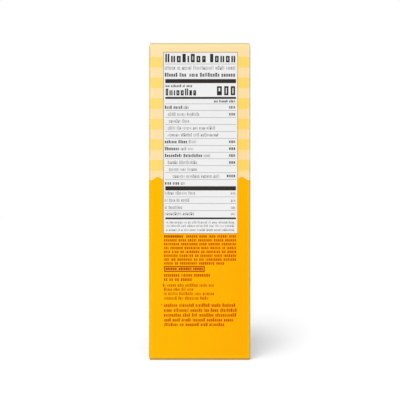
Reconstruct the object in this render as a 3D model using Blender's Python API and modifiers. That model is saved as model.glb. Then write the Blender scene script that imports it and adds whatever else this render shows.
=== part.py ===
"""A shut folding carton for graham crackers, standing on its base.

Metres, +Z up, origin at the middle of the base. The narrow side panels face -Y and +Y, the
wide front panel faces -X and the wide back panel faces +X. The carton is one folded sheet of
board, so it is one solid: four panels with rounded folds, two layers of closing flaps at each
end, whose cut ends lie just inside the side panels, and a glued lap along one back corner.
"""

import bpy

MM = 0.001

# Driving dimensions
SIDE_WIDTH = 65.0 * MM  # a narrow side panel, along X
FACE_WIDTH = 135.0 * MM  # the front or the back panel, along Y
HEIGHT = 203.3 * MM
BOARD = 0.5 * MM  # thickness of the paperboard
FOLD_RADIUS = 1.4 * MM
FOLD_STEPS = 6  # facets round a quarter turn

# Closing flaps
FLAP_LAYERS = 2  # the inner flap and the outer flap that is glued on it
FLAP_LENGTH = FACE_WIDTH - 2 * FOLD_RADIUS  # between the cut ends of a flap, along Y
FLAP_SHORT = 0.7 * MM  # from the outer flap's free edge to the front panel's face
FLAP_ROOT = 6.0 * MM  # how far a flap's block reaches down into the body

# Glued lap of the blank, on the side panel that faces +Y
LAP_SHORT = 1.8 * MM  # from that panel's raw edge to the back panel's face
LAP_CLEAR = 4.0 * MM  # how far its cutter reaches past the carton

# Finish
PRINT_COLOUR = (0.97, 0.43, 0.01, 1.0)
PRINT_ROUGHNESS = 0.4


def clear_scene():
    for item in list(bpy.data.objects):
        bpy.data.objects.remove(item, do_unlink=True)


def new_collection(name, parent):
    made = bpy.data.collections.new(name)
    parent.children.link(made)
    return made


def printed_board():
    """Clay-coated board with a varnished orange print."""
    material = bpy.data.materials.new("printed_board")
    material.use_nodes = True
    shader = material.node_tree.nodes["Principled BSDF"]
    shader.inputs["Base Color"].default_value = PRINT_COLOUR
    shader.inputs["Roughness"].default_value = PRINT_ROUGHNESS
    shader.inputs["Metallic"].default_value = 0.0
    material.diffuse_color = PRINT_COLOUR
    return material


def block(name, low, high, collection, is_fold):
    """A box between two corners, with a rounded fold along each edge that is_fold accepts."""
    bpy.ops.mesh.primitive_cube_add(size=1.0)
    made = bpy.context.active_object
    made.name = name
    made.data.name = name
    made.location = [(a + b) / 2 for a, b in zip(low, high)]
    made.scale = [b - a for a, b in zip(low, high)]
    bpy.ops.object.transform_apply(location=False, rotation=False, scale=True)
    for old in list(made.users_collection):
        old.objects.unlink(made)
    collection.objects.link(made)

    weights = made.data.attributes.new("bevel_weight_edge", "FLOAT", "EDGE")
    for edge in made.data.edges:
        a, b = (made.data.vertices[i].co for i in edge.vertices)
        weights.data[edge.index].value = 1.0 if is_fold((a + b) / 2, b - a) else 0.0
    fold = made.modifiers.new("fold", "BEVEL")
    fold.limit_method = "WEIGHT"
    fold.offset_type = "OFFSET"
    fold.width = FOLD_RADIUS
    fold.segments = FOLD_STEPS
    fold.use_clamp_overlap = False
    return made


def hide_helper(item):
    item.hide_render = True
    item.display_type = "WIRE"


def every_edge(middle, along):
    return True


def no_edge(middle, along):
    return False


def body(collection):
    """The four panels with the dust flaps folded in at the ends of the side panels."""
    closure = FLAP_LAYERS * BOARD
    low = (-SIDE_WIDTH / 2, -FACE_WIDTH / 2, closure)
    high = (SIDE_WIDTH / 2, FACE_WIDTH / 2, HEIGHT - closure)
    return block("carton", low, high, collection, every_edge)


def flaps(side, collection):
    """The two closing flaps at one end: side is 1 at the top and -1 at the base.

    The inner flap folds off the front panel at -X. The outer flap folds off the back panel
    at +X, lies over it, and ends FLAP_SHORT before the front panel's face.
    """
    end = HEIGHT if side > 0 else 0.0

    def inner_fold(middle, along):
        return abs(along.y) > 0 and side * middle.z > 0

    def outer_fold(middle, along):
        return inner_fold(middle, along) and middle.x > 0

    layers = (
        ("inner", -SIDE_WIDTH / 2, BOARD, inner_fold),
        ("outer", -SIDE_WIDTH / 2 + FLAP_SHORT, 0.0, outer_fold),
    )
    for name, free_edge, depth, is_fold in layers:
        near, root = end - side * depth, end - side * FLAP_ROOT
        low = (free_edge, -FLAP_LENGTH / 2, min(near, root))
        high = (SIDE_WIDTH / 2, FLAP_LENGTH / 2, max(near, root))
        place = "top" if side > 0 else "base"
        hide_helper(block(f"{place}_{name}_flap", low, high, collection, is_fold))


def lap_cutter(collection):
    """What lies outside the glue tab, up to the raw edge of the panel that laps over it."""
    low = (SIDE_WIDTH / 2 - LAP_SHORT, FACE_WIDTH / 2 - BOARD, -LAP_CLEAR)
    high = (SIDE_WIDTH / 2 + LAP_CLEAR, FACE_WIDTH / 2 + LAP_CLEAR, HEIGHT + LAP_CLEAR)
    cutter = block("lap_cutter", low, high, collection, no_edge)
    hide_helper(cutter)
    return cutter


def build():
    clear_scene()
    scene = bpy.context.scene.collection
    carton_parts = new_collection("cracker_carton", scene)
    flap_blocks = new_collection("flap_blocks", scene)
    cutters = new_collection("cutters", scene)

    carton = body(carton_parts)
    for side in (1, -1):
        flaps(side, flap_blocks)

    joined = carton.modifiers.new("closing_flaps", "BOOLEAN")
    joined.operation = "UNION"
    joined.operand_type = "COLLECTION"
    joined.collection = flap_blocks
    joined.solver = "EXACT"

    lap = carton.modifiers.new("glued_lap", "BOOLEAN")
    lap.operation = "DIFFERENCE"
    lap.object = lap_cutter(cutters)
    lap.solver = "EXACT"

    carton.data.materials.append(printed_board())


build()
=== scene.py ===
"""The looks of a shut carton of graham crackers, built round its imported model.

Metres, +Z up. The side panel with the facts on it faces -Y, the front panel faces -X, the back
panel faces +X and the recipe panel faces +Y. A place on a panel is (across, up) from the middle
of its foot, as someone who looks at that panel sees it, and from the middle of the top or base.
The board is skins of its own thickness, one for each printed colour, and everything else that is
printed is a thin solid on them.
"""

import math
import random

import bmesh
import bpy
from mathutils import Matrix, Vector


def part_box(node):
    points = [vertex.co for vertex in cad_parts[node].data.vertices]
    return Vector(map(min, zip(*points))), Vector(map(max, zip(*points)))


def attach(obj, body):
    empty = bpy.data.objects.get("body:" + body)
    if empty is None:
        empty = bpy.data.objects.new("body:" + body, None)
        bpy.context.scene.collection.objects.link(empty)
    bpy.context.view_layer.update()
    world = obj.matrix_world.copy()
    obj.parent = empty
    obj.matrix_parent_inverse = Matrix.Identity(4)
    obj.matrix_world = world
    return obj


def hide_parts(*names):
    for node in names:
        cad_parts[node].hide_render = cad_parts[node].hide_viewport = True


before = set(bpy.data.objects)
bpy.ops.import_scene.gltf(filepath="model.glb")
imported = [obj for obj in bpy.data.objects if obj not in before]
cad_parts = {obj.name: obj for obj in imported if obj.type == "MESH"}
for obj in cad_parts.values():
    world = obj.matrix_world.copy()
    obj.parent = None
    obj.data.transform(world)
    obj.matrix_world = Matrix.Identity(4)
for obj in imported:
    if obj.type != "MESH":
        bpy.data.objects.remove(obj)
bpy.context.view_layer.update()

MM = 0.001

# Carton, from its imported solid
LOW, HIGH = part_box("carton")
HALF_SIDE = (HIGH.x - LOW.x) / 2
HALF_FACE = (HIGH.y - LOW.y) / 2
HEIGHT = HIGH.z
BOARD = 0.5 * MM
FOLD = 1.4 * MM  # radius of every fold
FOLD_STEPS = 8  # in a quarter turn
FLAP_SHORT = 0.7 * MM  # from the outer flap's free edge to the front panel
LAP_SHORT = 1.8 * MM  # from the raw edge of the recipe panel to the back panel
SHEET = 0.47 * MM  # thickness of a board skin, which leaves a hair between two layers
INNER_FLAP_GAP = 0.1 * MM  # from an inner flap's free edge to the wall
FOLD_X = HALF_SIDE - FOLD
FOLD_Y = HALF_FACE - FOLD
WALL_FOOT = 2 * BOARD + FOLD
WALL_HEAD = HEIGHT - WALL_FOOT
WELD = 0.001 * MM  # points this close are one
NEAR = 0.01 * MM  # this close to a place counts as there
SMOOTH_ANGLE = math.radians(30)

# Print fields
STRIPE_FOOT = 121.4 * MM  # lower edge of the lowest dark stripe
STRIPE_PITCH = 13.2 * MM
DARK_STRIPE = 6.8 * MM
DARK_STRIPES = 7  # the last one runs on over the top
PALE_FOLD_STEPS = 2  # how many steps up the top fold the last pale stripe reaches
SCALLOP_FOOT = 115.3 * MM
SCALLOP_RISE = 2.1 * MM
SCALLOPS = 37  # once round the carton
SCALLOP_SHARP = 1.5  # over 1, its crests are narrower than its troughs
PLAIN_HEAD = SCALLOP_FOOT - 3 * MM  # a plain level just below the scalloped edge
WAVE_STEP = 0.6 * MM  # between points along a scalloped edge
WALL_STEP = 40.0 * MM  # and along a straight one

# Inks
INK = 0.03 * MM  # how far a printed solid stands off what it is printed on
INK_ROOT = 0.03 * MM  # and how far it reaches in
PAPER = 0.03 * MM  # how far a panel with inks on it stands off the board
CORNER_STEPS = 5

# Colour, wear, painted light and painted shade of the print
ORANGE_PRINT_AND_LIGHT_RISE = (60 * MM, 118 * MM)  # heights between which the orange grows lighter upward, partly its own print and partly painted light from above
STRIPE_PRINT_AND_LIGHT_RISE = (120 * MM, 200 * MM)  # and the stripes, in the same way
STRETCH_AND_HIGHLIGHT_REACH = 1.0 * MM  # how far beside a fold its ink is stretched and paler, partly a painted highlight along the fold
LEFT_PAINTED_LIGHT = 0.42  # painted light: how far an ink is toward its paler tint at the carton's left side, which is lit more
# How much the fold crests are rubbed, partly painted shade
RUB_AND_SHADE_AMOUNT = 0.8
THIN_AND_HIGHLIGHT_AMOUNT = 0.8  # of the paler tint, where the ink is stretched most and the painted highlight is strongest
FOOT_PAINTED_LIGHT_HEAD = 2.8 * MM  # painted light: the foot and the bottom fold, which faces down away from the light, are lighter and yellower up to here
# Ink rubbed off the fold crests, darkened with painted shade where the folds turn away from the light
RUBBED_AND_SHADED_COLOUR = (0.56, 0.42, 0.24, 1.0)
RUBBED_AND_SHADED_ORANGE = (0.54, 0.38, 0.04, 1.0)
# Painted light at the foot, lighter and yellower than the orange
FOOT_PAINTED_LIGHT_COLOUR = (1.0, 0.48, 0.02, 1.0)

# Raw board: each colour is a darker and a lighter one
FOOT_SHADE_RISE = (3 * MM, 60 * MM)  # painted shade: heights between which the raw board grows from shaded at the foot to its own colour
TOP_EDGE_SHADE_RISE = (HEIGHT - 1.2 * BOARD, HEIGHT - 0.9 * BOARD)  # painted shade: and between which its topmost cut end grows shaded
CLEAN_BOARD = ((0.79, 0.65, 0.40, 1.0), (0.89, 0.78, 0.54, 1.0))
# Painted shade on the topmost cut end
TOP_EDGE_SHADED_BOARD = ((0.51, 0.46, 0.26, 1.0), (0.58, 0.54, 0.34, 1.0))
# Painted shade at the foot, where the raw edges meet the floor
FOOT_SHADED_BOARD = ((0.66, 0.34, 0.05, 1.0), (0.80, 0.44, 0.08, 1.0))

# The side panel's print, in millimetres
FACTS_LEFT = -22.3  # left and right ends of most of its rows
FACTS_RIGHT = 22.6
RULE_LEFT = -22.1  # left and right ends of its bars and hairlines
RULE_RIGHT = 23.2
HALF_HAIRLINE = 0.11
FACTS_PITCH = 4.412  # between the lower rows
FACTS_FIRST = 161.0  # foot of the first of them
CONTENTS_LEFT = -22.9
CONTENTS_FIRST = 78.5  # foot of the first row of capitals
CONTENTS_PITCH = 2.47
CAPITAL = 1.55

# Ornaments
HOLES = (-0.36, -0.24, -0.12, 0.12, 0.24, 0.36)  # of a cracker a metre wide
SCANNER_BAR = 0.33  # the thinnest bar and the thinnest gap, in millimetres

# Camera, from where the carton stands in the photo
PHOTO_PIXELS = 400
CARTON_PIXEL = (199.78, 201.5)  # the middle of its side panel
PIXEL_SIZE = 0.6405 * MM  # on that panel
CAMERA_DISTANCE = 0.8
SENSOR = 36.0

# Studio
FLOOR_SIZE = 12.0
SKY_LEVEL = 0.2
SKY_OVERHEAD = 0.3
SKY_FRONT = 0.35
KEY_LAMPS = (  # how high each one stands, its azimuth and its spread, in degrees, and its strength
    (46, 9, 22, 0.7),
    (66, 14, 18, 0.85),
    (84, 30, 20, 0.72),
)


# Working with Blender's operators

def start_fresh():
    if bpy.context.mode != "OBJECT":
        bpy.ops.object.mode_set(mode="OBJECT")
    bpy.ops.object.select_all(action="DESELECT")


def choose(*pieces):
    start_fresh()
    for piece in pieces:
        piece.select_set(True)
    bpy.context.view_layer.objects.active = pieces[0]


def named(name):
    piece = bpy.context.active_object
    piece.name = name
    piece.data.name = name
    return piece


def edit(part="VERT"):
    bpy.ops.object.mode_set(mode="EDIT")
    bpy.ops.mesh.select_mode(type=part)


def edit_all(part="VERT"):
    edit(part)
    bpy.ops.mesh.select_all(action="SELECT")


def finish_edit():
    bpy.ops.object.mode_set(mode="OBJECT")


def pick(test, part="VERT"):
    """Selects the vertices or faces of the piece in edit mode whose middle passes."""
    bpy.ops.mesh.select_mode(type=part)
    bpy.ops.mesh.select_all(action="DESELECT")
    data = bpy.context.active_object.data
    mesh = bmesh.from_edit_mesh(data)
    for item in (mesh.verts if part == "VERT" else mesh.faces):
        middle = item.co if part == "VERT" else item.calc_center_median()
        if test(middle):
            item.select_set(True)
    mesh.select_flush_mode()
    bmesh.update_edit_mesh(data)


def point_outward():
    edit_all("FACE")
    bpy.ops.mesh.normals_make_consistent(inside=False)
    finish_edit()


def weld():
    bpy.ops.mesh.select_all(action="SELECT")
    bpy.ops.mesh.remove_doubles(threshold=WELD)


def thicken(piece, thickness, offset=-1.0, inner_slot=0):
    """Makes a sheet solid, inward at offset -1 and outward at 1."""
    choose(piece)
    wall = piece.modifiers.new("thickness", "SOLIDIFY")
    wall.thickness = thickness
    wall.offset = offset
    wall.material_offset = inner_slot
    wall.material_offset_rim = inner_slot
    bpy.ops.object.modifier_apply(modifier=wall.name)


def settle(piece):
    """Puts a piece's place, turn and size in its mesh."""
    choose(piece)
    bpy.ops.object.transform_apply(location=True, rotation=True, scale=True)


def join(pieces, name):
    """Makes one piece of several, or of one."""
    choose(*pieces)
    if len(pieces) > 1:
        bpy.ops.object.join()
    piece = named(name)
    settle(piece)
    return piece


def duplicate(piece):
    """A copy with its own mesh."""
    copy = piece.copy()
    copy.data = piece.data.copy()
    bpy.context.scene.collection.objects.link(copy)
    return copy


def soften(piece):
    choose(piece)
    bpy.ops.object.shade_smooth_by_angle(angle=SMOOTH_ANGLE)


def dress(piece, *materials):
    piece.data.materials.clear()
    for material in materials:
        piece.data.materials.append(material)


def keep(piece):
    """Hands a finished piece to the frame. Its colour isn't bounced onto the floor, whose shadow
    stays grey, as in the photo."""
    piece.visible_diffuse = False
    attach(piece, "root")
    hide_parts("carton")


# Materials

def node(tree, kind, **settings):
    made = tree.nodes.new(kind)
    for key, value in settings.items():
        setattr(made, key, value)
    return made


def feed(tree, socket, value):
    """Links an output to a socket, or writes a plain value on it."""
    if isinstance(value, bpy.types.NodeSocket):
        tree.links.new(value, socket)
    else:
        socket.default_value = value


def maths(tree, operation, a, b=0.0, clamp=False):
    made = node(tree, "ShaderNodeMath", operation=operation, use_clamp=clamp)
    feed(tree, made.inputs[0], a)
    feed(tree, made.inputs[1], b)
    return made.outputs[0]


def vector_maths(tree, operation, a, b=(0.0, 0.0, 0.0)):
    made = node(tree, "ShaderNodeVectorMath", operation=operation)
    feed(tree, made.inputs[0], a)
    feed(tree, made.inputs[1], b)
    return made.outputs[0]


def blend_colours(tree, factor, a, b):
    made = node(tree, "ShaderNodeMix", data_type="RGBA")
    feed(tree, made.inputs["Factor"], factor)
    feed(tree, made.inputs[6], a)
    feed(tree, made.inputs[7], b)
    return made.outputs[2]


def object_place(tree):
    """Where the point is on the object, in metres."""
    return node(tree, "ShaderNodeTexCoord").outputs["Object"]


def parts_of(tree, vector):
    """A vector's x, y and z."""
    made = node(tree, "ShaderNodeSeparateXYZ")
    feed(tree, made.inputs[0], vector)
    return made.outputs


def ranged(tree, value, low, high, to_low=0.0, to_high=1.0):
    """Eases from one number to another while the value goes from low to high."""
    made = node(tree, "ShaderNodeMapRange", interpolation_type="SMOOTHSTEP")
    feed(tree, made.inputs[0], value)
    for socket, number in zip(made.inputs[1:5], (low, high, to_low, to_high)):
        socket.default_value = number
    return made.outputs[0]


def noise(tree, place, scale, detail=2.0, roughness=0.5):
    """Noise of so many waves a metre."""
    made = node(tree, "ShaderNodeTexNoise")
    feed(tree, made.inputs["Vector"], place)
    made.inputs["Scale"].default_value = scale
    made.inputs["Detail"].default_value = detail
    made.inputs["Roughness"].default_value = roughness
    return made.outputs["Fac"]


def new_group(name, inputs, outputs):
    """A node group, with its inputs and outputs as they are seen from inside it."""
    tree = bpy.data.node_groups.new(name, "ShaderNodeTree")
    for title, default in inputs:
        socket = tree.interface.new_socket(title, in_out="INPUT", socket_type="NodeSocketFloat")
        socket.default_value = default
    for title in outputs:
        tree.interface.new_socket(title, in_out="OUTPUT", socket_type="NodeSocketFloat")
    return tree, node(tree, "NodeGroupInput").outputs, node(tree, "NodeGroupOutput").inputs


def make_board_grain():
    """The faint relief and cloudiness of coated board: fibres, pits and a slow waviness."""
    tree, given, out = new_group(
        "board_grain", (("Fibre Scale", 900.0), ("Wave", 0.5)), ("Cloud", "Height"))
    place = object_place(tree)
    stretch_and_highlight = vector_maths(tree, "MULTIPLY", place, (1.0, 1.0, 0.35))
    fibre = node(tree, "ShaderNodeTexNoise")
    feed(tree, fibre.inputs["Vector"], stretch_and_highlight)
    feed(tree, fibre.inputs["Scale"], given["Fibre Scale"])
    fibre.inputs["Detail"].default_value = 3.0
    cloud = noise(tree, place, 45.0, 4.0, 0.6)
    wave = noise(tree, place, 14.0, 1.0)
    height = maths(tree, "ADD", maths(tree, "MULTIPLY", fibre.outputs["Fac"], 0.12),
                   maths(tree, "MULTIPLY", wave, given["Wave"]))
    feed(tree, out["Cloud"], cloud)
    feed(tree, out["Height"], height)
    return tree


def pair_product(tree, vector):
    """The largest product of two of a vector's parts, which is nought away from the folds."""
    x, y, z = parts_of(tree, vector)
    products = [maths(tree, "MULTIPLY", a, b) for a, b in ((x, y), (y, z), (z, x))]
    return maths(tree, "MAXIMUM", maths(tree, "MAXIMUM", products[0], products[1]), products[2])


def make_fold_wear_and_light():
    """How far the ink is rubbed off the crests of the carton's folds, darkened with painted shade,
    how far it is stretched and paler beside them, partly a painted highlight, and how much
    painted light lightens the foot."""
    tree, given, out = new_group("fold_wear_and_light", (("Amount", 1.0),), ("Rub and Shade", "Stretch and Highlight", "Foot Light"))
    place = object_place(tree)
    centred = vector_maths(tree, "SUBTRACT", place, (0.0, 0.0, HEIGHT / 2))
    inner = (FOLD_X, FOLD_Y, WALL_HEAD - HEIGHT / 2)
    past = vector_maths(tree, "SUBTRACT", vector_maths(tree, "ABSOLUTE", centred), inner)
    crest = pair_product(tree, vector_maths(tree, "MAXIMUM", past))
    crest = maths(tree, "MULTIPLY", crest, 2.0 / FOLD ** 2, clamp=True)
    patchy = ranged(tree, noise(tree, place, 260.0, 4.0, 0.65), 0.30, 0.62, 0.6, 1.0)
    broad = ranged(tree, noise(tree, place, 35.0, 2.0), 0.35, 0.65, 0.75, 1.0)
    # The crests' rub: ink worn off, and painted shade where the folds turn away from the light
    rub_and_shade = maths(tree, "POWER", crest, 3.0)
    rub_and_shade = maths(tree, "MULTIPLY", rub_and_shade, maths(tree, "MULTIPLY", patchy, broad))
    height = parts_of(tree, place)["Z"]
    at_foot = ranged(tree, height, 0.0, 4.0 * MM, 0.1, 1.0)
    at_head = ranged(tree, height, WALL_HEAD - MM, HEIGHT - MM, 1.0, 0.3)
    rub_and_shade = maths(tree, "MULTIPLY", rub_and_shade, maths(tree, "MULTIPLY", at_foot, at_head))
    feed(tree, out["Rub and Shade"], maths(tree, "MULTIPLY", rub_and_shade, given["Amount"], clamp=True))
    # Beside the folds the ink is stretched, and paler as a painted highlight
    wide = vector_maths(tree, "ADD", past, (STRETCH_AND_HIGHLIGHT_REACH, STRETCH_AND_HIGHLIGHT_REACH, STRETCH_AND_HIGHLIGHT_REACH))
    stretch_and_highlight = pair_product(tree, vector_maths(tree, "MAXIMUM", wide))
    most = (STRETCH_AND_HIGHLIGHT_REACH + FOLD * math.sqrt(0.5)) ** 2
    feed(tree, out["Stretch and Highlight"], maths(tree, "MULTIPLY", stretch_and_highlight, 1.0 / most, clamp=True))
    # Painted light at the foot, fading upward
    foot = ranged(tree, height, 0.2 * MM, FOOT_PAINTED_LIGHT_HEAD, 0.8, 0.0)
    feed(tree, out["Foot Light"], maths(tree, "MULTIPLY", foot, broad))
    return tree


BOARD_GRAIN = make_board_grain()
FOLD_WEAR_AND_LIGHT = make_fold_wear_and_light()


def new_material(name, specular):
    material = bpy.data.materials.new(name)
    material.use_nodes = True
    tree = material.node_tree
    shader = tree.nodes["Principled BSDF"]
    shader.inputs["Specular IOR Level"].default_value = specular
    return material, tree, shader


def grain(tree, fibre_scale, wave):
    """The board's grain, with so many fibres a metre and so much waviness."""
    made = node(tree, "ShaderNodeGroup", node_tree=BOARD_GRAIN)
    made.inputs["Fibre Scale"].default_value = fibre_scale
    made.inputs["Wave"].default_value = wave
    return made.outputs


def relief(tree, shader, height, distance):
    bump = node(tree, "ShaderNodeBump")
    bump.inputs["Distance"].default_value = distance
    bump.inputs["Strength"].default_value = 1.0
    feed(tree, bump.inputs["Height"], height)
    feed(tree, shader.inputs["Normal"], bump.outputs["Normal"])


def printed_field(name, low_colour, high_colour, tint, heights, rubbed_and_shaded=RUBBED_AND_SHADED_COLOUR):
    """Satin-varnished ink on the board. Its colour drifts between two heights, partly as painted
    light from above, towards a paler tint at the left side as painted light, in clouds, and beside
    the folds as stretched ink with a painted highlight. Its fold crests are rubbed and darkened
    with painted shade, and its foot is lightened with painted light."""
    material, tree, shader = new_material(name, 0.03)
    surface = grain(tree, 900.0, 0.5)
    wear_and_light = node(tree, "ShaderNodeGroup", node_tree=FOLD_WEAR_AND_LIGHT)
    wear_and_light.inputs["Amount"].default_value = RUB_AND_SHADE_AMOUNT
    place = parts_of(tree, object_place(tree))
    # Lighter upward: partly the print's own shading, partly painted light from above
    rise = ranged(tree, place["Z"], *heights)
    colour = blend_colours(tree, rise, low_colour, high_colour)
    # Painted light: paler towards the carton's left side, as if lit more from there
    painted_left_light = ranged(tree, place["X"], -HALF_SIDE, HALF_SIDE, LEFT_PAINTED_LIGHT, 0.0)
    colour = blend_colours(tree, painted_left_light, colour, tint)
    cloudy = ranged(tree, surface["Cloud"], 0.35, 0.7, 0.0, 0.10)
    colour = blend_colours(tree, cloudy, colour, tint)
    # Paler beside the folds: stretched ink and a painted highlight
    thin = maths(tree, "MULTIPLY", wear_and_light.outputs["Stretch and Highlight"], THIN_AND_HIGHLIGHT_AMOUNT)
    colour = blend_colours(tree, thin, colour, tint)
    # Rubbed crests, darkened with painted shade
    colour = blend_colours(tree, wear_and_light.outputs["Rub and Shade"], colour, rubbed_and_shaded)
    # Painted light at the foot
    colour = blend_colours(tree, wear_and_light.outputs["Foot Light"], colour, FOOT_PAINTED_LIGHT_COLOUR)
    feed(tree, shader.inputs["Base Color"], colour)
    rough = ranged(tree, surface["Cloud"], 0.3, 0.7, 0.34, 0.46)
    rough = maths(tree, "ADD", rough, maths(tree, "MULTIPLY", wear_and_light.outputs["Rub and Shade"], 0.4))
    feed(tree, shader.inputs["Roughness"], rough)
    relief(tree, shader, surface["Height"], 0.05 * MM)
    return material


def raw_board(name):
    """The cut edge and the unprinted inside of the board, with painted shade at the foot, where it
    meets the floor, and on its topmost cut end."""
    material, tree, shader = new_material(name, 0.2)
    feed(tree, shader.inputs["Roughness"], 0.9)
    surface = grain(tree, 1500.0, 0.2)
    height = parts_of(tree, object_place(tree))["Z"]
    # Painted shade at the foot, where the raw edges meet the floor
    rise = ranged(tree, height, *FOOT_SHADE_RISE)
    # Painted shade on the topmost cut end
    top_edge_shade = ranged(tree, height, *TOP_EDGE_SHADE_RISE)
    clean, top_edge_shaded, foot_shaded = (blend_colours(tree, surface["Cloud"], *pair)
                            for pair in (CLEAN_BOARD, TOP_EDGE_SHADED_BOARD, FOOT_SHADED_BOARD))
    colour = blend_colours(tree, rise, foot_shaded, blend_colours(tree, top_edge_shade, clean, top_edge_shaded))
    feed(tree, shader.inputs["Base Color"], colour)
    relief(tree, shader, surface["Height"], 0.2 * MM)
    return material


def ink(name, colour, worn_colour, roughness=0.45):
    """A solid ink: nearly even, a little thinner where the board's surface is cloudy."""
    material, tree, shader = new_material(name, 0.08)
    surface = grain(tree, 1100.0, 0.3)
    thin = ranged(tree, surface["Cloud"], 0.45, 0.75, 0.0, 0.35)
    feed(tree, shader.inputs["Base Color"], blend_colours(tree, thin, colour, worn_colour))
    rough = ranged(tree, surface["Cloud"], 0.3, 0.7, roughness - 0.05, roughness + 0.08)
    feed(tree, shader.inputs["Roughness"], rough)
    relief(tree, shader, surface["Height"], 0.04 * MM)
    return material


ORANGE = printed_field("orange_field_print", (0.925, 0.395, 0.0, 1.0), (0.925, 0.43, 0.0, 1.0),
                       (0.94, 0.51, 0.0, 1.0), ORANGE_PRINT_AND_LIGHT_RISE, RUBBED_AND_SHADED_ORANGE)
DARK_YELLOW = printed_field("dark_stripe_print", (0.925, 0.62, 0.115, 1.0),
                            (0.925, 0.645, 0.14, 1.0), (0.94, 0.71, 0.22, 1.0), STRIPE_PRINT_AND_LIGHT_RISE)
PALE_YELLOW = printed_field("pale_stripe_print", (0.925, 0.665, 0.305, 1.0),
                            (0.925, 0.69, 0.345, 1.0), (0.94, 0.75, 0.44, 1.0), STRIPE_PRINT_AND_LIGHT_RISE)
RAW = raw_board("raw_board")
WHITE = ink("panel_white", (0.805, 0.81, 0.805, 1.0), (0.775, 0.775, 0.77, 1.0), 0.5)
BLACK = ink("black_ink", (0.031, 0.025, 0.022, 1.0), (0.045, 0.038, 0.034, 1.0))
GREY = ink("hairline_ink", (0.22, 0.21, 0.20, 1.0), (0.30, 0.29, 0.28, 1.0))
TAN = ink("outline_ink", (0.38, 0.26, 0.10, 1.0), (0.46, 0.34, 0.16, 1.0))
RUST = ink("rust_ink", (0.50, 0.012, 0.0, 1.0), (0.56, 0.03, 0.0, 1.0))
MAROON = ink("maroon_ink", (0.38, 0.008, 0.0, 1.0), (0.43, 0.018, 0.0, 1.0))
BROWN = ink("brown_ink", (0.23, 0.018, 0.0, 1.0), (0.27, 0.03, 0.0, 1.0))
CREAM = ink("cream_ink", (0.88, 0.76, 0.50, 1.0), (0.84, 0.70, 0.43, 1.0))
TOAST = ink("toast_ink", (0.65, 0.30, 0.06, 1.0), (0.75, 0.40, 0.11, 1.0))
BAKED = ink("baked_ink", (0.33, 0.11, 0.018, 1.0), (0.42, 0.16, 0.03, 1.0))


# Board: walls, folds and flaps

def straight(start, end, outward, step):
    """Places from one point to another, without the last one."""
    count = max(1, math.ceil(math.dist(start, end) / step))
    return [(start[0] + (end[0] - start[0]) * i / count,
             start[1] + (end[1] - start[1]) * i / count, *outward) for i in range(count)]


def bend(centre, first, last):
    """Places round a fold between two angles, without the last one."""
    count = max(1, round(abs(last - first) / (math.pi / 2) * FOLD_STEPS))
    places = []
    for i in range(count):
        angle = first + (last - first) * i / count
        out_x, out_y = math.cos(angle), math.sin(angle)
        places.append((centre[0] + FOLD * out_x, centre[1] + FOLD * out_y, out_x, out_y))
    return places


def wall_plan(step):
    """Once round the walls from the middle of the -Y panel: x, y, outward x, y and distance."""
    quarter = math.pi / 2
    tab_y = HALF_FACE - BOARD
    lap_x = HALF_SIDE - LAP_SHORT
    tab_turn = math.asin((tab_y - FOLD_Y) / FOLD)
    tab_x = FOLD_X + FOLD * math.cos(tab_turn)
    places = [
        *straight((0, -HALF_FACE), (FOLD_X, -HALF_FACE), (0, -1), step),
        *bend((FOLD_X, -FOLD_Y), -quarter, 0),
        *straight((HALF_SIDE, -FOLD_Y), (HALF_SIDE, FOLD_Y), (1, 0), step),
        *bend((FOLD_X, FOLD_Y), 0, tab_turn),
        (tab_x, tab_y, math.cos(tab_turn), math.sin(tab_turn)),
        (lap_x, tab_y, 0, 1),
        *straight((lap_x, HALF_FACE), (-FOLD_X, HALF_FACE), (0, 1), step),
        *bend((-FOLD_X, FOLD_Y), quarter, 2 * quarter),
        *straight((-HALF_SIDE, FOLD_Y), (-HALF_SIDE, -FOLD_Y), (-1, 0), step),
        *bend((-FOLD_X, -FOLD_Y), 2 * quarter, 3 * quarter),
        *straight((-FOLD_X, -HALF_FACE), (0, -HALF_FACE), (0, -1), step),
    ]
    plan = []
    along = 0.0
    for i, (x, y, out_x, out_y) in enumerate(places):
        plan.append((x, y, out_x, out_y, along))
        next_x, next_y = places[(i + 1) % len(places)][:2]
        along += math.hypot(next_x - x, next_y - y)
    return plan, along


def scallop(share):
    """The scalloped edge's height, at a share of the way round the carton."""
    crest = 0.5 - 0.5 * math.cos(2 * math.pi * SCALLOPS * share)
    return SCALLOP_FOOT + SCALLOP_RISE * crest ** SCALLOP_SHARP


def fold_levels(height, side):
    """A fold's levels between a wall that ends at height and the flap: side 1 up, -1 down."""
    angles = [math.pi / 2 * i / FOLD_STEPS for i in range(FOLD_STEPS + 1)]
    return [(height + side * FOLD * math.sin(a), FOLD * (1 - math.cos(a))) for a in angles]


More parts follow.
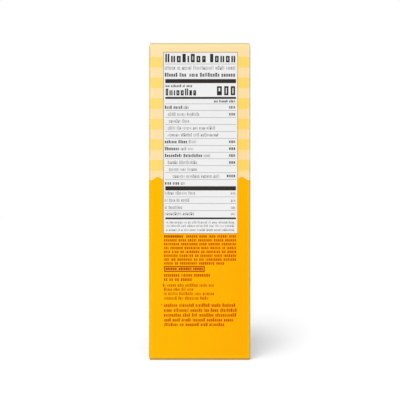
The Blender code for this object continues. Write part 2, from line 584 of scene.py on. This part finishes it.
def board_ring(name, levels, step, print_material):
    """A skin of board round the carton. Each level is a height, plain or by the share of the
    way round, and how far in it lies. It starts as a loop, which is extruded once a level."""
    plan, around = wall_plan(step)
    start_fresh()
    bpy.ops.mesh.primitive_circle_add(vertices=len(plan), fill_type="NOTHING")
    ring = named(name)
    number = ring.data.attributes.new("station", "INT", "POINT")
    number.data.foreach_set("value", range(len(plan)))
    edit_all()
    for _ in levels[1:]:
        bpy.ops.mesh.extrude_region_move(TRANSFORM_OT_translate={"value": (0, 0, 1)})
    finish_edit()
    for vertex, at in zip(ring.data.vertices, ring.data.attributes["station"].data):
        height, inset = levels[round(vertex.co.z)]
        x, y, out_x, out_y, along = plan[at.value]
        if callable(height):
            height = height(along / around)
        vertex.co = (x - out_x * inset, y - out_y * inset, height)
    ring.data.attributes.remove(ring.data.attributes["station"])
    edit()
    weld()
    finish_edit()
    point_outward()
    dress(ring, print_material, RAW)
    raw_edge = HALF_SIDE - LAP_SHORT
    for face in ring.data.polygons:
        if face.normal.x > 0.9 and abs(face.center.x - raw_edge) < NEAR:
            face.material_index = 1
    thicken(ring, SHEET, inner_slot=1)
    return ring


def stripe_levels(foot, head):
    """Levels of a flat stripe. Either end may be a height by the share of the way round."""
    return [(foot, 0.0), (head, 0.0)]


def make_walls():
    """The orange field with the bottom fold, and the stripes above it with the top fold."""
    bottom_fold = list(reversed(fold_levels(WALL_FOOT, -1)))
    orange_levels = [*bottom_fold, (PLAIN_HEAD, 0.0), (scallop, 0.0)]
    orange = board_ring("orange_field", orange_levels, WAVE_STEP, ORANGE)
    pale = [board_ring("pale_stripe", stripe_levels(scallop, STRIPE_FOOT), WAVE_STEP, PALE_YELLOW)]
    dark = []
    top_fold = fold_levels(WALL_HEAD, 1)
    for k in range(DARK_STRIPES - 1):
        foot = STRIPE_FOOT + k * STRIPE_PITCH
        head = foot + DARK_STRIPE
        dark.append(board_ring("dark_stripe", stripe_levels(foot, head), WALL_STEP, DARK_YELLOW))
        levels = stripe_levels(head, foot + STRIPE_PITCH)
        if k == DARK_STRIPES - 2:
            levels = [(head, 0.0), *top_fold[:PALE_FOLD_STEPS + 1]]
        pale.append(board_ring("pale_stripe", levels, WALL_STEP, PALE_YELLOW))
    dark.append(board_ring("dark_stripe", top_fold[PALE_FOLD_STEPS:], WALL_STEP, DARK_YELLOW))
    pieces = [orange, join(pale, "pale_stripes"), join(dark, "dark_stripes")]
    for piece in pieces:
        soften(piece)
        keep(piece)


def closing_flap(name, hinge, free_edge, top, print_material):
    """A flap of board: flat, with a fold at its hinge that runs down to the wall's head."""
    side = 1 if hinge > free_edge else -1
    start_fresh()
    bpy.ops.mesh.primitive_plane_add(size=1, location=((hinge + free_edge) / 2, 0, top))
    flap = named(name)
    flap.scale = (abs(hinge - free_edge), 2 * FOLD_Y, 1)
    settle(flap)
    edit()
    pick(lambda at: abs(at.x - hinge) < NEAR)
    bpy.ops.mesh.spin(steps=FOLD_STEPS, angle=-side * math.pi / 2, center=(hinge, 0, top - FOLD),
                      axis=(0, 1, 0))
    drop = WALL_HEAD - (top - FOLD)
    bpy.ops.mesh.extrude_region_move(TRANSFORM_OT_translate={"value": (0, 0, drop)})
    weld()
    finish_edit()
    point_outward()
    dress(flap, print_material, RAW)
    flat = max(flap.data.polygons, key=lambda face: face.area)
    if flat.normal.z < 0:
        edit_all("FACE")
        bpy.ops.mesh.flip_normals()
        finish_edit()
    thicken(flap, SHEET, inner_slot=1)
    soften(flap)
    return flap


def turned_over(flap, name, print_material):
    """The same flap at the carton's foot, upside down."""
    copy = duplicate(flap)
    copy.name = name
    copy.data.name = name
    copy.scale = (1, 1, -1)
    copy.location = (0, 0, HEIGHT)
    settle(copy)
    point_outward()
    copy.data.materials[0] = print_material
    return copy


def make_flaps():
    """An inner flap off the front panel and an outer one off the back, at the top and base."""
    inner_end = HALF_SIDE - BOARD - INNER_FLAP_GAP
    flaps = (
        closing_flap("top_inner_flap", -FOLD_X, inner_end, HEIGHT - BOARD, DARK_YELLOW),
        closing_flap("top_outer_flap", FOLD_X, FLAP_SHORT - HALF_SIDE, HEIGHT, DARK_YELLOW),
    )
    for flap, name in zip(flaps, ("base_inner_flap", "base_outer_flap")):
        keep(turned_over(flap, name, ORANGE))
        keep(flap)


# Printing on a panel

def panel_place(turn, distance):
    """Takes (across, up, off the surface) on the panel that faces -Y once turned, to space."""
    stand_up = Matrix.Rotation(math.pi / 2, 4, "X")
    out = Matrix.Translation((0, -distance, 0))
    return Matrix.Rotation(turn, 4, "Z") @ out @ stand_up


SIDE_PANEL = panel_place(0, HALF_FACE)
BACK_PANEL = panel_place(math.pi / 2, HALF_SIDE)
RECIPE_PANEL = panel_place(math.pi, HALF_FACE)
FRONT_PANEL = panel_place(-math.pi / 2, HALF_SIDE)
TOP_PANEL = Matrix.Translation((0, 0, HEIGHT)) @ Matrix.Rotation(-math.pi / 2, 4, "Z")
BASE_PANEL = Matrix.Rotation(math.pi / 2, 4, "Z") @ Matrix.Rotation(math.pi, 4, "Y")


def flat_shape(name, width, height, corner=0.0):
    """A flat sheet round the origin, with rounded corners, still without a thickness."""
    start_fresh()
    bpy.ops.mesh.primitive_plane_add(size=1)
    piece = named(name)
    piece.scale = (width, height, 1)
    settle(piece)
    if corner:
        edit_all()
        bpy.ops.mesh.bevel(offset=corner, segments=CORNER_STEPS, affect="VERTICES")
        finish_edit()
    return piece


def raise_ink(piece, stand=INK):
    """Gives a flat sheet the thickness of its ink, and a root below the surface."""
    thicken(piece, stand + INK_ROOT, offset=1.0)
    piece.location.z = -INK_ROOT
    settle(piece)
    return piece


def patch(name, width, height, corner=0.0, stand=INK):
    """A plain printed area."""
    return raise_ink(flat_shape(name, width, height, corner), stand)


def hollow(piece, line):
    """Cuts the middle out of a flat sheet, and leaves a line round it."""
    edit_all("FACE")
    bpy.ops.mesh.inset(thickness=line)
    bpy.ops.mesh.delete(type="FACE")
    finish_edit()


def border(name, width, height, line, corner=0.0):
    """A line round a box, inside its size."""
    piece = flat_shape(name, width, height, corner)
    hollow(piece, line)
    return raise_ink(piece)


def copied(piece, across=0.0, up=0.0, scale=1.0, turn=0.0):
    """A copy, sized, turned and moved in the plane it was made in."""
    copy = duplicate(piece)
    copy.data.transform(Matrix.Translation((across, up, 0)) @ Matrix.Rotation(turn, 4, "Z")
                        @ Matrix.Diagonal((scale, scale, 1, 1)))
    return copy


def discard(pieces):
    for piece in pieces:
        bpy.data.objects.remove(piece, do_unlink=True)


def printed(name, pieces, panel, material, lift=0.0):
    """Joins the flat solids of one ink, puts them on a panel and hands them over."""
    piece = join(pieces, name)
    piece.matrix_world = panel @ Matrix.Translation((0, 0, lift)) @ piece.matrix_world
    settle(piece)
    dress(piece, material)
    keep(piece)


def moved(piece, across, up):
    """Moves a flat piece in its plane by millimetres."""
    piece.data.transform(Matrix.Translation((across * MM, up * MM, 0)))
    return piece


def bar_between(left, right, foot, head):
    """A solid bar between two places across and two heights, in millimetres."""
    bar = patch("bar", (right - left) * MM, (head - foot) * MM)
    return moved(bar, (left + right) / 2, (foot + head) / 2)


def plate(name, width, height, across, up, corner):
    """A plain area, in millimetres."""
    return moved(patch(name, width * MM, height * MM, corner * MM), across, up)


def frame_line(name, width, height, line, across, up, corner=0.0):
    """A line round a box, in millimetres."""
    return moved(border(name, width * MM, height * MM, line * MM, corner * MM), across, up)


def spread(piece, places):
    """Copies of a metre-sized ornament: across, up and size in millimetres, and its turn."""
    return [copied(piece, across * MM, up * MM, size * MM, turn)
            for across, up, size, turn in places]


# Rows of small print, as plain marks

class Marks:
    """One weight of small marks, each a unit high, that rows of print are set from."""

    SPACE = 0.55  # between words, in mark heights, more than the gap after each mark
    WORD = (2, 9)  # fewest and most marks in a word
    LAST_WORD = 2.5  # room that a new word needs, in mark heights
    TALL = 1.32
    SHELF = -0.05  # height of a half-filled box's filling, from its middle

    def __init__(self, name, line, gap=0.26):
        self.name = name
        self.line = line
        self.gap = gap
        kinds = ((self.block, line), (self.box, 0.6), (self.box, 0.48), (self.posts, 0.62),
                 (self.half_box, 0.55), (self.block, 2 * line))
        self.made = [(make(width), width) for make, width in kinds]  # each mark and its width

    def rooted(self, piece, width):
        """A mark with its left foot at the origin."""
        piece.location = (width / 2, 0.5, 0)
        settle(piece)
        return raise_ink(piece)

    def block(self, width):
        """A solid bar."""
        return self.rooted(flat_shape(self.name, width, 1), width)

    def wall(self, width):
        """How thick a hollow mark's walls are, so that it keeps a gap in its middle."""
        return min(self.line, 0.45 * width)

    def box(self, width):
        """A hollow box."""
        piece = flat_shape(self.name, width, 1)
        hollow(piece, self.wall(width))
        return self.rooted(piece, width)

    def half_box(self, width):
        """A hollow box whose lower half is filled."""
        piece = flat_shape(self.name, width, 1)
        wall = self.wall(width)
        edit_all("FACE")
        bpy.ops.mesh.inset(thickness=wall)
        bpy.ops.mesh.bisect(plane_co=(0, self.SHELF, 0), plane_no=(0, 1, 0))
        inner = width / 2 - wall
        pick(lambda at: abs(at.x) < inner / 2 and self.SHELF < at.y < 0.5 - wall, "FACE")
        bpy.ops.mesh.delete(type="FACE")
        finish_edit()
        return self.rooted(piece, width)

    def posts(self, width):
        """Two posts, side by side."""
        piece = flat_shape(self.name, self.line, 1)
        piece.location.x = (self.line - width) / 2
        settle(piece)
        edit_all("FACE")
        bpy.ops.mesh.duplicate_move(TRANSFORM_OT_translate={"value": (width - self.line, 0, 0)})
        finish_edit()
        return self.rooted(piece, width)

    def row(self, chance, left, right, foot, height, tall=0.3):
        """Words of marks between two places across, in millimetres. A share of them is taller."""
        room = (right - left) / height
        row = []
        used = 0.0
        in_word = chance.randint(*self.WORD)
        while used < room:
            kind = chance.randrange(len(self.made))
            row.append(kind)
            used += self.made[kind][1] + self.gap
            in_word -= 1
            if in_word == 0 and used < room - self.LAST_WORD:
                row.append(None)
                used += self.SPACE
                in_word = chance.randint(*self.WORD)
        squeeze = room / (used - self.gap)
        at = 0.0
        placed = []
        for kind in row:
            if kind is None:
                at += self.SPACE * squeeze
                continue
            piece, width = self.made[kind]
            mark = copied(piece)
            lift = self.TALL if chance.random() < tall else 1.0
            size = Matrix.Diagonal((height * squeeze * MM, height * lift * MM, 1, 1))
            start = Matrix.Translation(((left + at * height) * MM, foot * MM, 0))
            mark.data.transform(start @ size)
            placed.append(mark)
            at += (width + self.gap) * squeeze
        return placed

    def rows(self, seed, *places):
        """Several rows. Each place is left, right, foot, height and the share that is taller."""
        chance = random.Random(seed)
        return [mark for place in places for mark in self.row(chance, *place)]


def make_facts_panel(light, medium, bold):
    """The white panel of facts: heading, bars, hairlines and the rows between them."""
    sheet = moved(patch("facts_paper", 47.4 * MM, 116 * MM, 0.3 * MM, PAPER), 0.46, 139.2)
    printed("facts_paper", [sheet], SIDE_PANEL, WHITE)
    outline = frame_line("facts_outline", 47.85, 116.45, 0.37, 0.5, 139.2)
    printed("facts_outline", [outline], SIDE_PANEL, TAN, PAPER)

    bars = [bar_between(RULE_LEFT, RULE_RIGHT, foot, head) for foot, head in (
        (177.48, 180.05), (167.38, 168.64), (108.75, 111.45), (90.32, 91.42))]
    printed("facts_bars", bars, SIDE_PANEL, BLACK, PAPER)
    levels = [189.7, 164.2, 104.6, 100.4, 95.8]
    drops = (0.0, 0.0, 0.1, 0.13, 0.25, 0.33, 0.28, 0.0, 0.0, 0.08, 0.0)
    levels += [159.92 - FACTS_PITCH * k - drop for k, drop in enumerate(drops)]
    hairlines = [bar_between(RULE_LEFT, RULE_RIGHT, level - HALF_HAIRLINE, level + HALF_HAIRLINE)
                 for level in levels]
    printed("facts_hairlines", hairlines, SIDE_PANEL, GREY, PAPER)

    heading = bold.rows(5234, (RULE_LEFT, 3.8, 190.8, 4.1, 0.35), (6.6, 22.7, 190.8, 4.1, 0.35))
    heading += bold.rows(39, (-21.8, -2.4, 169.6, 3.3))
    printed("facts_heading", heading, SIDE_PANEL, BLACK, PAPER)

    bold_rows = [(FACTS_LEFT, -8.9, 181.6, 1.85), (-6.6, 22.5, 181.6, 1.85),
                 (FACTS_LEFT, -5.0, 174.9, 1.25), (9.1, FACTS_RIGHT, 165.1, 1.2)]
    light_rows = [(FACTS_LEFT, FACTS_RIGHT, 186.1, 1.8)]
    # Each lower row: where its bold part ends, if it has one, where its light part starts and
    # ends, and whether it has a share at its right end
    table = (
        (-11.3, -10.3, -7.2, True), (None, -20.4, -0.5, True), (None, -19.7, -6.9, False),
        (None, -20.4, 9.7, False), (None, -20.4, 11.7, False), (-8.2, -7.0, -2.4, True),
        (-13.3, -12.1, -4.3, True), (1.4, 2.6, 6.5, True), (None, -20.4, -1.8, True),
        (None, -19.7, -1.8, False), (None, -17.2, 12.3, False), (-13.3, -12.1, -9.5, False),
    )
    for k, (bold_right, left, right, share) in enumerate(table):
        foot = FACTS_FIRST - FACTS_PITCH * k
        if bold_right is not None:
            bold_rows.append((FACTS_LEFT, bold_right, foot, 1.55))
        light_rows.append((left, right, foot, 1.5))
        if share:
            bold_rows.append((18.8, FACTS_RIGHT, foot + 0.15, 1.6, 0.0))
    bold_rows.append((17.4, FACTS_RIGHT, FACTS_FIRST + 0.3 - FACTS_PITCH * 10, 1.6, 0.0))
    for right, foot in ((-3.1, 106.1), (-6.9, 101.5), (-11.4, 96.9), (-3.7, 92.9)):
        light_rows.append((FACTS_LEFT, right, foot, 1.5))
        light_rows.append((20.0, FACTS_RIGHT, foot, 1.4, 0.0))
    for foot in (87.6, 85.4, 82.8):
        light_rows.append((-21.6, 22.0, foot, 1.05))
    printed("facts_bold_print", bold.rows(5, *bold_rows), SIDE_PANEL, BLACK, PAPER)
    printed("facts_light_print", light.rows(8, *light_rows), SIDE_PANEL, BLACK, PAPER)
    count = medium.rows(9, (11.0, FACTS_RIGHT, 169.7, 5.8, 0.0))
    printed("facts_count", count, SIDE_PANEL, BLACK, PAPER)


def make_contents_print(medium, bold, heavy):
    """The rows of brown print under the facts panel, with a dark first word and a boxed line."""
    capitals = []
    for k, right in enumerate((RULE_RIGHT,) * 7 + (15.5,)):
        left = CONTENTS_LEFT if k else -8.6
        capitals.append((left, right, CONTENTS_FIRST - CONTENTS_PITCH * k, CAPITAL, 0.0))
    printed("contents_capitals", bold.rows(13, *capitals), SIDE_PANEL, RUST)
    dark = [frame_line("box", 26.1, 3.65, 0.6, -9.85, 58.45)]
    dark += heavy.rows(16, (-21.9, 2.0, 57.75, 1.5, 0.0))
    dark += heavy.rows(112, (CONTENTS_LEFT, -10.7, CONTENTS_FIRST, CAPITAL, 0.0))
    printed("contents_dark_print", dark, SIDE_PANEL, MAROON)
    strong = [(CONTENTS_LEFT, 6.5, 53.5, 1.65, 0.0), (CONTENTS_LEFT, -5.0, 50.8, 1.65, 0.0),
              (CONTENTS_LEFT, -13.0, 44.5, 1.4)]
    printed("contents_bold_print", bold.rows(17, *strong), SIDE_PANEL, RUST)
    fine = [(-23.6, 9.0, 47.1, 1.5), (-12.0, -4.3, 44.5, 1.5), (CONTENTS_LEFT, 9.0, 41.7, 1.5),
            (CONTENTS_LEFT, 5.3, 38.8, 1.5)]
    foot_rows = [(-24.8, -24.1, 35.2, 0.8, 0.0)]
    for right, foot in ((22.6, 34.2), (23.5, 31.0), (23.2, 27.9), (21.3, 24.8), (15.5, 21.85)):
        foot_rows.append((CONTENTS_LEFT, right, foot, 1.6))
    printed("contents_light_print", medium.rows(19, *fine), SIDE_PANEL, RUST)
    printed("contents_note_print", bold.rows(23, *foot_rows), SIDE_PANEL, RUST)


# Ornaments, each made once round the origin

def make_cracker():
    """A printed square cracker, a metre wide: its body, and its baked lines and holes."""
    body = patch("cracker", 1.0, 1.0, corner=0.07)
    lines = [border("rim", 1.0, 1.0, 0.028, corner=0.07), patch("score", 0.022, 0.9),
             patch("score", 0.9, 0.022)]
    start_fresh()
    bpy.ops.mesh.primitive_circle_add(vertices=8, radius=0.02, fill_type="NGON")
    hole = raise_ink(named("hole"))
    lines += [copied(hole, across, up) for across in HOLES for up in HOLES]
    discard([hole])
    return body, join(lines, "cracker_lines")


def make_ear():
    """A printed ear of wheat, a metre tall, with its foot at the origin."""
    start_fresh()
    bpy.ops.mesh.primitive_circle_add(vertices=10, radius=0.5, fill_type="NGON")
    grain_shape = named("grain")
    grain_shape.scale = (0.036, 0.105, 1)
    settle(grain_shape)
    raise_ink(grain_shape)
    stem = patch("stem", 0.012, 0.9)
    stem.data.transform(Matrix.Translation((0, 0.45, 0)))
    parts = [stem, copied(grain_shape, 0, 0.95)]
    for i in range(9):
        for side in (-1, 1):
            parts.append(copied(grain_shape, side * 0.043, 0.42 + 0.058 * i, turn=-side * 0.5))
    for side in (-1, 1):
        leaf = copied(grain_shape, scale=1.9)
        leaf.data.transform(Matrix.Translation((side * 0.075, 0.22, 0))
                            @ Matrix.Rotation(-side * 0.75, 4, "Z"))
        parts.append(leaf)
    discard([grain_shape])
    return join(parts, "ear")


def make_front_print(light, bold, cracker, cracker_lines, ear):
    """A blank name plate over printed crackers between two ears of wheat."""
    printed("front_plate", [plate("plate", 112, 40, 0, 163, 9)], FRONT_PANEL, BROWN)
    lines = [frame_line("line", 106, 34, 0.9, 0, 163, 6.5),
             frame_line("line", 102, 30, 0.35, 0, 163, 5)]
    printed("front_plate_lines", lines, FRONT_PANEL, CREAM, INK)
    printed("front_banner", [plate("banner", 76, 10, 0, 134, 2)], FRONT_PANEL, CREAM)
    banner = [frame_line("line", 76, 10, 0.4, 0, 134, 2)]
    banner += bold.rows(31, (-31, 31, 132.1, 3.4, 0.15))
    printed("front_banner_print", banner, FRONT_PANEL, BROWN, INK)
    low = [(-27, 76, 47, 0.16), (27, 76, 47, -0.13)]
    printed("front_crackers", spread(cracker, low), FRONT_PANEL, TOAST)
    printed("front_cracker_lines", spread(cracker_lines, low), FRONT_PANEL, BAKED, INK)
    high = [(0, 51, 50, 0.03)]
    printed("front_top_cracker", spread(cracker, high), FRONT_PANEL, TOAST, 2 * INK)
    printed("front_top_cracker_lines", spread(cracker_lines, high), FRONT_PANEL, BAKED, 3 * INK)
    ears = spread(ear, [(-54, 24, 66, 0.06), (54, 24, 66, -0.06)])
    printed("front_ears", ears, FRONT_PANEL, CREAM)
    foot = bold.rows(37, (-19, 19, 11.5, 2.6, 0.2)) + light.rows(38, (-15, 15, 7.6, 1.7))
    printed("front_foot_print", foot, FRONT_PANEL, BROWN)


def make_back_print(light, bold, cracker, cracker_lines, ear):
    """A smaller blank name plate, a cream panel of rows and a line of small crackers."""
    printed("back_plate", [plate("plate", 92, 27, 0, 176, 6)], BACK_PANEL, BROWN)
    printed("back_plate_line", [frame_line("line", 87, 22, 0.7, 0, 176, 4)], BACK_PANEL, CREAM, INK)
    printed("back_panel", [plate("panel", 112, 64, 0, 114, 4)], BACK_PANEL, CREAM)
    heading = [frame_line("line", 112, 64, 0.6, 0, 114, 4)]
    heading += bold.rows(41, (-40, 40, 133.5, 4.2, 0.2))
    printed("back_heading", heading, BACK_PANEL, BROWN, INK)
    rows = [(-49, 49 if k % 4 != 3 else 21, 125.5 - 4.6 * k, 1.9) for k in range(8)]
    rows += [(-35, 35, 87.2, 1.5)]
    printed("back_rows", light.rows(43, *rows), BACK_PANEL, BROWN, INK)
    line = [(-42 + 28 * k, 52, 22, 0.06 * (-1) ** k) for k in range(4)]
    printed("back_crackers", spread(cracker, line), BACK_PANEL, TOAST)
    printed("back_cracker_lines", spread(cracker_lines, line), BACK_PANEL, BAKED, INK)
    ears = spread(ear, [(2.5, 22, 37, 1.28), (-2.5, 22, 37, -1.28)])
    printed("back_ears", ears, BACK_PANEL, CREAM)
    foot = light.rows(47, (-30, 30, 12.0, 1.6), (-30, 30, 8.8, 1.6))
    printed("back_foot_print", foot, BACK_PANEL, BROWN)


def make_recipe_print(light, bold, ear):
    """The narrow side opposite the facts: a panel of rows, and plain scanner bars."""
    printed("recipe_panel", [plate("panel", 48, 86, 0, 149, 2)], RECIPE_PANEL, CREAM)
    strong = [frame_line("line", 48, 86, 0.4, 0, 149, 2)]
    strong += bold.rows(53, (-19, 19, 182.5, 3.4, 0.2), (-19, 2, 148.0, 1.9, 0.2))
    printed("recipe_heading", strong, RECIPE_PANEL, BROWN, INK)
    rows = [(-19, 12 - 5 * (k % 3), 176.5 - 3.6 * k, 1.5) for k in range(7)]
    rows += [(-19, 19 if k % 5 != 4 else 6, 143.5 - 3.3 * k, 1.5) for k in range(10)]
    printed("recipe_rows", light.rows(59, *rows), RECIPE_PANEL, BROWN, INK)
    printed("recipe_ear", spread(ear, [(3.2, 66, 33, 0.4), (-3.2, 66, 33, -0.4)]), RECIPE_PANEL, CREAM)
    note = light.rows(61, *((-23, 23, 59.0 - 2.9 * k, 1.4) for k in range(4)))
    printed("recipe_note", note, RECIPE_PANEL, BROWN)
    printed("scanner_plate", [plate("plate", 38, 25, 0, 28, 0.8)], RECIPE_PANEL, WHITE)
    chance = random.Random(67)
    bars = []
    at = -15.5
    while at < 15.0:
        width = SCANNER_BAR * chance.choice((1, 1, 2, 3))
        bars.append(bar_between(at, at + width, 18.5, 37.5))
        at += width + SCANNER_BAR * chance.choice((1, 1, 2, 2, 3))
    printed("scanner_bars", bars, RECIPE_PANEL, BLACK, INK)


def make_end_print(light, bold, cracker, cracker_lines):
    """A blank plate and two crackers on the top, and rows and printer's squares on the base."""
    printed("top_plate", [plate("plate", 86, 27, 0, 0, 5)], TOP_PANEL, BROWN)
    printed("top_plate_line", [frame_line("line", 81, 22, 0.6, 0, 0, 3.5)], TOP_PANEL, CREAM, INK)
    ends = [(-54, 0, 15, 0.1), (54, 0, 15, -0.1)]
    printed("top_crackers", spread(cracker, ends), TOP_PANEL, TOAST)
    printed("top_cracker_lines", spread(cracker_lines, ends), TOP_PANEL, BAKED, INK)
    rows = light.rows(71, (-24, 24, 4, 1.6), (-24, 24, 0.6, 1.6), (-24, 9, -2.8, 1.6))
    printed("base_rows", rows, BASE_PANEL, BROWN)
    squares = ((BLACK, "black"), (BROWN, "brown"), (CREAM, "cream"), (WHITE, "white"))
    for k, (material, name) in enumerate(squares):
        square = plate("square", 4, 4, 40 + 5 * k, -22, 0.3)
        printed(f"base_{name}_square", [square], BASE_PANEL, material)


def build():
    """Makes every piece. What rows and ornaments are copied from goes at the end."""
    make_walls()
    make_flaps()
    light = Marks("light_mark", 0.12)
    medium = Marks("medium_mark", 0.19)
    bold = Marks("bold_mark", 0.255)
    heavy = Marks("heavy_mark", 0.3, 0.17)
    cracker, cracker_lines = make_cracker()
    ear = make_ear()
    make_facts_panel(light, medium, bold)
    make_contents_print(medium, bold, heavy)
    make_front_print(light, bold, cracker, cracker_lines, ear)
    make_back_print(light, bold, cracker, cracker_lines, ear)
    make_recipe_print(light, bold, ear)
    make_end_print(light, bold, cracker, cracker_lines)
    discard([piece for marks in (light, medium, bold, heavy) for piece, _ in marks.made])
    discard([cracker, cracker_lines, ear])


def make_camera(scene):
    """Level with the middle of the carton and square to its side panel, as in the photo."""
    camera_data = bpy.data.cameras.new("camera")
    camera_data.sensor_width = SENSOR
    camera_data.lens = SENSOR * CAMERA_DISTANCE / (PHOTO_PIXELS * PIXEL_SIZE)
    camera_data.clip_start = 0.01
    camera = bpy.data.objects.new("camera", camera_data)
    scene.collection.objects.link(camera)
    across = (PHOTO_PIXELS / 2 - CARTON_PIXEL[0]) * PIXEL_SIZE
    up = HEIGHT / 2 + (CARTON_PIXEL[1] - PHOTO_PIXELS / 2) * PIXEL_SIZE
    camera.location = (across, -(HALF_FACE + CAMERA_DISTANCE), up)
    camera.rotation_euler = (math.pi / 2, 0, 0)
    scene.camera = camera


def make_floor():
    """A pale floor that isn't part of the carton."""
    start_fresh()
    bpy.ops.mesh.primitive_plane_add(size=FLOOR_SIZE)
    floor = named("floor")
    material, tree, shader = new_material("pale_floor", 0.1)
    feed(tree, shader.inputs["Roughness"], 0.8)
    cloudy = noise(tree, object_place(tree), 3.0)
    colour = blend_colours(tree, cloudy, (0.94, 0.94, 0.94, 1.0), (0.96, 0.96, 0.96, 1.0))
    feed(tree, shader.inputs["Base Color"], colour)
    dress(floor, material)


def make_room(scene):
    """A white backdrop, and soft light that comes mostly from overhead and from the front."""
    world = bpy.data.worlds.new("studio")
    world.use_nodes = True
    scene.world = world
    tree = world.node_tree
    toward = parts_of(tree, node(tree, "ShaderNodeTexCoord").outputs["Generated"])
    overhead = maths(tree, "MULTIPLY", toward["Z"], SKY_OVERHEAD)
    front = maths(tree, "MULTIPLY", toward["Y"], -SKY_FRONT)
    sky = maths(tree, "ADD", maths(tree, "MAXIMUM", overhead, 0.0), SKY_LEVEL)
    sky = maths(tree, "ADD", maths(tree, "MAXIMUM", front, 0.0), sky)
    seen = node(tree, "ShaderNodeLightPath").outputs["Is Camera Ray"]
    feed(tree, tree.nodes["Background"].inputs["Strength"], maths(tree, "MAXIMUM", sky, seen))
    feed(tree, tree.nodes["Background"].inputs["Color"], (1.0, 1.0, 1.0, 1.0))


def make_key(scene):
    """A tall soft light in front, to the left and above, as lamps that stand over each other."""
    for height, azimuth, spread, strength in KEY_LAMPS:
        lamp = bpy.data.lights.new("key", "SUN")
        lamp.energy = strength
        lamp.angle = math.radians(spread)
        key = bpy.data.objects.new("key", lamp)
        scene.collection.objects.link(key)
        rise, turn = math.radians(height), math.radians(azimuth)
        toward = Vector((math.sin(turn) * math.cos(rise), math.cos(turn) * math.cos(rise),
                         -math.sin(rise)))
        key.rotation_euler = toward.to_track_quat("-Z", "Y").to_euler()


def make_studio():
    scene = bpy.context.scene
    scene.view_settings.view_transform = "Standard"
    scene.view_settings.look = "None"
    make_camera(scene)
    make_floor()
    make_room(scene)
    make_key(scene)


build()
make_studio()
